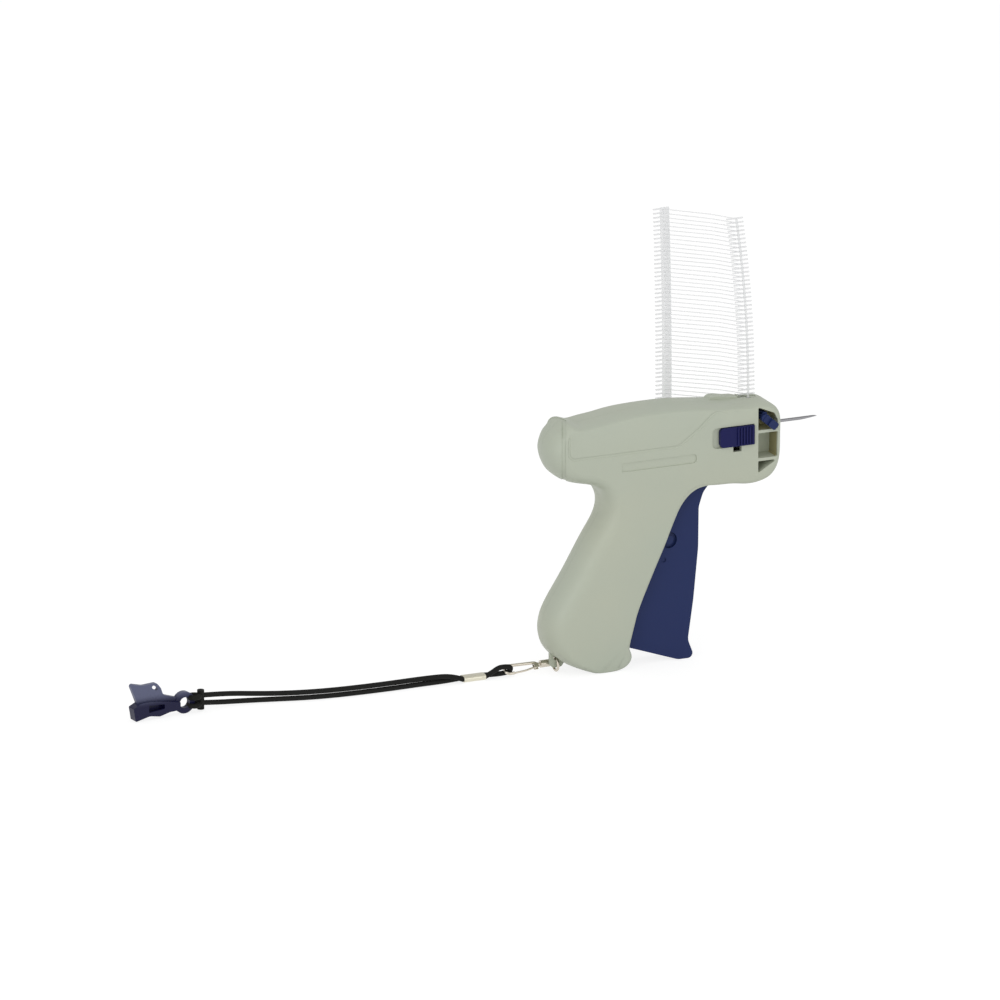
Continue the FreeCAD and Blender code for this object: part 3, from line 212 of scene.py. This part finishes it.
def cap_plastic():
    """Dark blue that turns paler in the thin upper plate."""
    finish = Finish("cap_blue", {"Specular IOR Level": 0.25})
    height = finish.along("Z").between(*CAP_PLATE_Z, 0.0, 1.0)
    finish.feed({"Base Color": height.colours(linear(18, 18, 56), linear(96, 100, 126)),
                 "Roughness": finish.uneven(scale=160.0, low=0.27, high=0.36)})
    return finish.material


def steel(name, colour, roughness):
    """Metal that is a little more polished in places."""
    finish = Finish(name, {"Base Color": colour, "Metallic": 1.0})
    low, high = (share * roughness for share in POLISH_SPREAD)
    finish.feed({"Roughness": finish.uneven(scale=900.0, low=low, high=high)})
    return finish.material


def braid():
    """Black braided cord."""
    finish = Finish("black_braid", {
        "Base Color": linear(20, 20, 18), "Roughness": 0.75, "Specular IOR Level": 0.25})
    finish.grain(scale=2200.0, strength=0.6, depth=0.4)
    return finish.material


FINISHES = {
    "case_plastic": case_plastic(),
    "trigger_plastic": moulded_plastic("trigger_navy", linear(33, 46, 91)),
    "button_plastic": moulded_plastic("button_violet", linear(18, 21, 78)),
    "inner_plastic": moulded_plastic("inner_white", linear(228, 226, 216)),
    "needle_seat_plastic": moulded_plastic("seat_blue", linear(43, 47, 85)),
    "tag_plastic": tag_nylon(),
    "needle_steel": steel("needle_steel", linear(146, 146, 149), 0.3),
    "pin_steel": steel("pin_steel", linear(200, 200, 200), 0.3),
    "screw_steel": steel("screw_steel", linear(180, 181, 183), 0.35),
    "hook_metal": steel("hook_nickel", linear(205, 198, 184), 0.22),
    "crimp_metal": steel("crimp_metal", linear(222, 218, 200), 0.4),
    "cord_fabric": braid(),
    "cap_plastic": cap_plastic(),
}


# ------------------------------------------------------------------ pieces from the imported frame
SLOT_OF = {part["node"]: part["material_slot"] for part in frame["record"]["subparts"]}
BODY_OF = {node: body for body, nodes in frame["record"]["behaviour"]["bodies"].items() for node in nodes}
CORD_NODES = ("lanyard_cord_lower", "lanyard_cord_upper", "cord_eye", "lanyard_knot")
WELD = 0.001 * MM                                # corners closer than this are one corner
SHARP_FROM = 30                                  # degrees from which an edge between two faces stays sharp
OWN_SHARP_FROM = {"right_housing": 32, "left_housing": 32, "lanyard_knot": 40}


def smooth_copy(node):
    """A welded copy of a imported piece, smooth except at its sharp edges."""
    mesh = frame["nodes"][node].data.copy()
    mesh.name = node + "_look"
    if mesh.attributes.get("custom_normal"):
        mesh.attributes.remove(mesh.attributes["custom_normal"])
    sharp_angle = math.radians(OWN_SHARP_FROM.get(node, SHARP_FROM))
    work = bmesh.new()
    work.from_mesh(mesh)
    bmesh.ops.remove_doubles(work, verts=work.verts, dist=WELD)
    for face in work.faces:
        face.smooth = True
    for edge in work.edges:
        edge.smooth = len(edge.link_faces) == 2 and edge.calc_face_angle() < sharp_angle
    work.to_mesh(mesh)
    work.free()
    shown = bpy.data.objects.new(node + "_look", mesh)
    bpy.context.scene.collection.objects.link(shown)
    return shown


def dress(shown, node):
    """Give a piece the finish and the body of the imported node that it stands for."""
    slot_name = SLOT_OF[node]
    shown.data.materials.clear()
    shown.data.materials.append(FINISHES[slot_name])
    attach(shown, BODY_OF[node])
    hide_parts(node)


def dress_frame():
    """All pieces of plastic and metal."""
    for node in SLOT_OF:
        if node not in CORD_NODES:
            dress(smooth_copy(node), node)


# ------------------------------------------------------------------ lanyard
CORD_R = 1.3
CORD_ORDER = 3                                   # of the curve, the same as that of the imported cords
CORD_STEPS = 12                                  # pieces of the curve between two of its points
CORD_ROUNDNESS = 6                               # the higher, the rounder the cord's section
CORD_ROUTE_LOWER = [(-72.2, 4.9, 1.52), (-74.8, 4.9, 1.4), (-77.8, 4.6, 1.35), (-82.0, 4.2, 1.35),
                    (-88.0, 4.1, 1.35), (-96.0, 4.2, 1.35), (-112.0, 3.7, 1.35),
                    (-128.0, 4.1, 1.35), (-143.0, 5.1, 1.35), (-157.0, 7.4, 1.35), (-170.0, 11.0, 1.35),
                    (-181.0, 13.8, 1.4), (-191.0, 15.2, 1.7), (-200.0, 15.0, 2.4), (-209.8, 14.4, 3.6)]
CORD_ROUTE_UPPER = [(-72.2, 2.1, 1.52), (-74.8, 2.15, 2.6), (-77.8, 2.5, 3.5), (-82.0, 3.3, 4.1),
                    (-88.0, 4.0, 4.1), (-96.0, 4.4, 4.05), (-112.0, 4.1, 4.05),
                    (-128.0, 4.4, 4.05), (-143.0, 5.5, 4.05), (-157.0, 7.9, 4.05), (-170.0, 11.5, 4.1),
                    (-181.0, 14.5, 4.6), (-191.0, 15.8, 5.6), (-200.0, 15.3, 6.6), (-209.8, 14.4, 7.5)]
CORD_EYE_ROUTE = [(-60.4, 2.1, 1.52), (-57.2, 1.6, 3.1), (-53.6, 1.0, 5.6), (-50.2, 1.05, 5.75),
                  (-46.2, 1.7, 4.95), (-46.2, 3.8, 1.85), (-50.2, 4.25, 1.34), (-53.6, 4.3, 1.35),
                  (-57.2, 4.7, 1.4), (-60.4, 4.9, 1.52)]


def cord_piece(name, node, route):
    """A round cord whose middle line is a smooth curve led by the route's points."""
    curve = bpy.data.curves.new(name, "CURVE")
    curve.dimensions = "3D"
    curve.bevel_depth = CORD_R * MM
    curve.bevel_resolution = CORD_ROUNDNESS
    curve.use_fill_caps = True
    line = curve.splines.new("NURBS")
    line.points.add(len(route) - 1)
    for point, place in zip(line.points, route):
        point.co = (*(Vector(place) * MM), 1.0)
    line.order_u = CORD_ORDER
    line.use_endpoint_u = True
    line.resolution_u = CORD_STEPS
    shown = bpy.data.objects.new(name, curve)
    bpy.context.scene.collection.objects.link(shown)
    dress(shown, node)
    return shown


def strand(name, node, route):
    """One of the two strands that lie loose between the crimp and the knot."""
    shown = cord_piece(name, node, route)


def lanyard():
    strand("cord_lower_look", "lanyard_cord_lower", CORD_ROUTE_LOWER)
    strand("cord_upper_look", "lanyard_cord_upper", CORD_ROUTE_UPPER)
    cord_piece("cord_eye_look", "cord_eye", CORD_EYE_ROUTE)
    dress(smooth_copy("lanyard_knot"), "lanyard_knot")


dress_frame()
lanyard()


# ------------------------------------------------------------------ stage and light, in metres and watts
WORLD_STRENGTH = 0.67
FLOOR_SIZE = 60.0
FLOOR_HEIGHT = -0.2 * MM                         # just under the part, so that no two faces coincide
FLOOR_GREY = (0.8, 0.8, 0.8, 1.0)
GLOW_SHARE = 0.66                                # the rest is the lit floor, with its shadows
GLOW_STRENGTH = 1.25
WHITE = (1.0, 1.0, 1.0, 1.0)


def studio_white():
    """Nearly plain white to the camera and in reflections, and a pale matt surface to the lamps."""
    finish = Finish("studio_white", {"Base Color": FLOOR_GREY, "Roughness": 0.9})
    rays = finish.node("ShaderNodeLightPath", {}).outputs
    camera_ray, glossy_ray, clear_ray = (
        Shade(finish.tree, rays[name]) for name in ("Is Camera Ray", "Is Glossy Ray", "Is Transmission Ray"))
    glow = finish.node("ShaderNodeEmission", {"Color": WHITE, "Strength": GLOW_STRENGTH})
    mix = finish.node("ShaderNodeMixShader", {
        0: (camera_ray + glossy_ray + clear_ray) * GLOW_SHARE,
        1: Shade(finish.tree, finish.shader.outputs[0]), 2: Shade(finish.tree, glow.outputs[0])})
    fill(finish.tree, finish.tree.nodes["Material Output"], {"Surface": Shade(finish.tree, mix.outputs[0])})
    return finish.material


def floor():
    mesh = bpy.data.meshes.new("studio_floor")
    work = bmesh.new()
    bmesh.ops.create_grid(work, x_segments=1, y_segments=1, size=FLOOR_SIZE / 2,
                          matrix=Matrix.Translation((0.0, 0.0, FLOOR_HEIGHT)))
    work.to_mesh(mesh)
    work.free()
    mesh.materials.append(studio_white())
    shown = bpy.data.objects.new("studio_floor", mesh)
    bpy.context.scene.collection.objects.link(shown)


def softbox(name, place, target, size, power):
    """A square lamp that the camera doesn't see."""
    data = bpy.data.lights.new(name, "AREA")
    data.shape = "SQUARE"
    data.size = size
    data.energy = power
    light = bpy.data.objects.new(name, data)
    light.location = place
    light.rotation_mode = "QUATERNION"
    light.rotation_quaternion = (Vector(target) - Vector(place)).to_track_quat("-Z", "Y")
    bpy.context.scene.collection.objects.link(light)
    light.visible_camera = False


def studio():
    world = bpy.data.worlds.new("studio")
    world.use_nodes = True
    fill(world.node_tree, world.node_tree.nodes["Background"], {"Color": WHITE, "Strength": WORLD_STRENGTH})
    bpy.context.scene.world = world
    floor()
    softbox("key_top", place=(-0.1, -0.35, 1.1), target=(0.0, 0.0, 0.1), size=1.0, power=0.7)
    softbox("front_right", place=(0.45, -1.3, 0.55), target=(0.0, 0.0, 0.08), size=0.9, power=2.5)
    softbox("fill_left", place=(-1.0, -0.9, 0.5), target=(0.0, 0.0, 0.08), size=0.8, power=3.0)


# ------------------------------------------------------------------ camera
AIM_POINT = Vector((-53.1, 0.0, 93.8)) * MM      # what the camera looks at
AZIMUTH = -24.0                                  # degrees from the gun's right side round to its rear
ELEVATION = 17.0                                 # degrees above the table
DISTANCE = 10.0                                  # metres, for a long lens with little perspective
VIEW_WIDTH = 0.5                                 # metres across the view at the aim point
SENSOR_WIDTH = 36.0                              # mm


def camera():
    data = bpy.data.cameras.new("camera")
    data.sensor_width = SENSOR_WIDTH
    data.lens = SENSOR_WIDTH * DISTANCE / VIEW_WIDTH
    data.clip_start = DISTANCE / 100
    data.clip_end = DISTANCE * 10
    shown = bpy.data.objects.new("camera", data)
    around = math.radians(AZIMUTH)
    up = math.radians(ELEVATION)
    back = Vector((math.sin(around) * math.cos(up), -math.cos(around) * math.cos(up), math.sin(up)))
    shown.location = AIM_POINT + back * DISTANCE
    shown.rotation_mode = "QUATERNION"
    shown.rotation_quaternion = (-back).to_track_quat("-Z", "Y")
    bpy.context.scene.collection.objects.link(shown)
    bpy.context.scene.camera = shown


studio()
camera()
bpy.context.scene.view_settings.view_transform = "Standard"
write_bounds()
